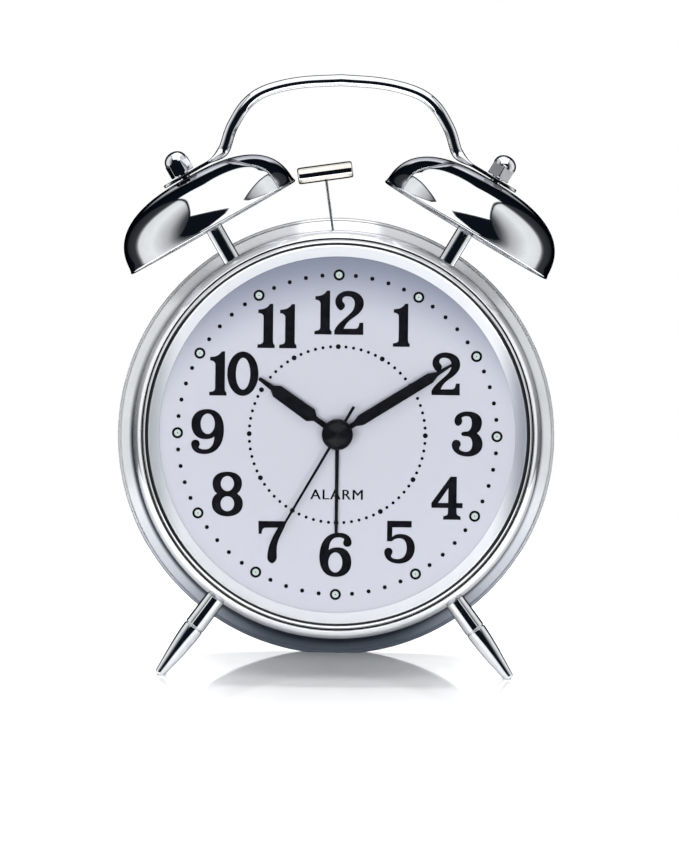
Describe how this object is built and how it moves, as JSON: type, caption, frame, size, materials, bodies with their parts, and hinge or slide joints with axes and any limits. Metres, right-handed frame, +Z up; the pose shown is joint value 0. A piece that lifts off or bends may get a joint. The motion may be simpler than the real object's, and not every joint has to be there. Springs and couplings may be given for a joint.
{
  "type": "twin-bell alarm clock",
  "caption": "Round quartz desk clock with twin bells, a striking hammer, a wire carrying handle, splayed feet and a rear setting panel.",
  "frame": {"origin": "on the table under the middle of the clock's bounding box", "axes": "+Z up, dial facing -Y, +X to the right as seen from the front; the clock stands leaning back by 12.3 degrees"},
  "size_m": [0.114, 0.0678, 0.1545],
  "materials": {
    "chrome": "mirror polished plating",
    "plain_steel": "zinc plated",
    "nickel": "polished nickel",
    "brass": "turned brass",
    "black_enamel": "satin black",
    "black_plastic": "fine grained",
    "nylon": "natural moulded",
    "lens": "clear",
    "gasket_rubber": "matte black",
    "white_plastic": "smooth white",
    "dial_paint": "pale silver with printed numerals",
    "copper_winding": "enamelled copper wire",
    "circuit_board": "green solder mask",
    "battery_jacket": "plain printed jacket"
  },
  "bodies": {
    "case": {"case_body": "chrome", "bezel": "chrome", "left_bell": "chrome", "right_bell": "chrome", "left_bell_post": "chrome", "right_bell_post": "chrome", "left_acorn_nut": "chrome", "right_acorn_nut": "chrome", "handle": "chrome", "left_foot": "chrome", "right_foot": "chrome", "left_post_nut": "plain_steel", "right_post_nut": "plain_steel", "left_foot_nut": "plain_steel", "right_foot_nut": "plain_steel", "striker_bracket": "plain_steel", "striker_motor": "plain_steel", "stator": "plain_steel", "cover_screw_1": "plain_steel", "cover_screw_2": "plain_steel", "cover_screw_3": "plain_steel", "cover_screw_4": "plain_steel", "battery_contact_negative": "plain_steel", "battery_contact_positive": "plain_steel", "rear_cover": "black_plastic", "movement_front_plate": "black_plastic", "movement_housing": "black_plastic", "train_bridge": "nylon", "lens": "lens", "lens_gasket": "gasket_rubber", "rehaut_ring": "white_plastic", "dial": "dial_paint", "coil": "copper_winding", "circuit_board": "circuit_board", "battery_cell": "battery_jacket"},
    "hour_hand_set": {"hour_hand": "black_enamel", "hour_wheel": "brass"},
    "minute_hand_set": {"minute_hand": "black_enamel", "minute_wheel": "brass"},
    "second_hand_set": {"second_hand": "black_enamel", "second_hand_cap": "black_enamel", "second_wheel": "nylon"},
    "third_wheel": {"third_wheel": "nylon"},
    "intermediate_wheel": {"intermediate_wheel": "nylon"},
    "rotor": {"rotor": "plain_steel"},
    "time_setting": {"motion_wheel": "nylon", "time_set_knob": "black_plastic"},
    "alarm_hand_set": {"alarm_hand": "black_enamel", "alarm_wheel": "brass"},
    "alarm_setting": {"alarm_setting_shaft": "nylon", "alarm_set_knob": "black_plastic"},
    "hammer": {"hammer_rocker": "nylon", "hammer_wire": "plain_steel", "hammer_head": "nickel"},
    "cam_gear": {"cam_gear": "nylon"},
    "motor_pinion": {"motor_pinion": "brass"},
    "alarm_switch": {"alarm_switch": "black_plastic"},
    "battery_door": {"battery_door": "black_plastic"}
  },
  "joints": [
    {"name": "second_hand_spin", "type": "hinge", "parent": "case", "child": "second_hand_set", "pos_m": [0, -0.0077, 0.06196], "axis": [0, 0.9769, -0.2136], "continuous": true},
    {"name": "third_wheel_spin", "type": "hinge", "parent": "case", "child": "third_wheel", "pos_m": [0, -0.00568, 0.07119], "axis": [0, 0.9769, -0.2136], "continuous": true},
    {"name": "minute_hand_spin", "type": "hinge", "parent": "case", "child": "minute_hand_set", "pos_m": [0, -0.0077, 0.06196], "axis": [0, 0.9769, -0.2136], "continuous": true},
    {"name": "time_set_spin", "type": "hinge", "parent": "case", "child": "time_setting", "pos_m": [0.01046, -0.00856, 0.05805], "axis": [0, 0.9769, -0.2136], "continuous": true},
    {"name": "hour_hand_spin", "type": "hinge", "parent": "case", "child": "hour_hand_set", "pos_m": [0, -0.0077, 0.06196], "axis": [0, 0.9769, -0.2136], "continuous": true},
    {"name": "intermediate_wheel_spin", "type": "hinge", "parent": "case", "child": "intermediate_wheel", "pos_m": [0, -0.00924, 0.05493], "axis": [0, 0.9769, -0.2136], "continuous": true},
    {"name": "rotor_spin", "type": "hinge", "parent": "case", "child": "rotor", "pos_m": [-0.0045, -0.01018, 0.05062], "axis": [0, 0.9769, -0.2136], "continuous": true},
    {"name": "alarm_set_spin", "type": "hinge", "parent": "case", "child": "alarm_setting", "pos_m": [-0.01383, -0.00856, 0.05805], "axis": [0, 0.9769, -0.2136], "continuous": true},
    {"name": "alarm_hand_spin", "type": "hinge", "parent": "case", "child": "alarm_hand_set", "pos_m": [0, -0.0077, 0.06196], "axis": [0, 0.9769, -0.2136], "continuous": true},
    {"name": "hammer_swing", "type": "hinge", "parent": "case", "child": "hammer", "pos_m": [0, 0.00127, 0.10299], "axis": [0, 0.9769, -0.2136], "range_deg": [-0.8, 17.6]},
    {"name": "cam_spin", "type": "hinge", "parent": "case", "child": "cam_gear", "pos_m": [0, -0.00108, 0.09224], "axis": [0, 0.9769, -0.2136], "continuous": true},
    {"name": "motor_spin", "type": "hinge", "parent": "case", "child": "motor_pinion", "pos_m": [0.008, -0.00108, 0.09224], "axis": [0, 0.9769, -0.2136], "continuous": true},
    {"name": "alarm_switch_slide", "type": "slide", "parent": "case", "child": "alarm_switch", "axis": [1, 0, 0], "range_m": [0, 0.005]},
    {"name": "battery_door_lift", "type": "slide", "parent": "case", "child": "battery_door", "axis": [0, 0.9769, -0.2136], "range_m": [0, 0.02]}
  ],
  "couplings": [
    {"joint": "third_wheel_spin", "follows": "second_hand_spin", "ratio": -0.125},
    {"joint": "minute_hand_spin", "follows": "second_hand_spin", "ratio": 0.016667},
    {"joint": "time_set_spin", "follows": "second_hand_spin", "ratio": -0.0055556},
    {"joint": "hour_hand_spin", "follows": "second_hand_spin", "ratio": 0.0013889},
    {"joint": "intermediate_wheel_spin", "follows": "second_hand_spin", "ratio": -5},
    {"joint": "rotor_spin", "follows": "second_hand_spin", "ratio": 30},
    {"joint": "alarm_hand_spin", "follows": "alarm_set_spin", "ratio": -0.5},
    {"joint": "motor_spin", "follows": "cam_spin", "ratio": -3}
  ]
}
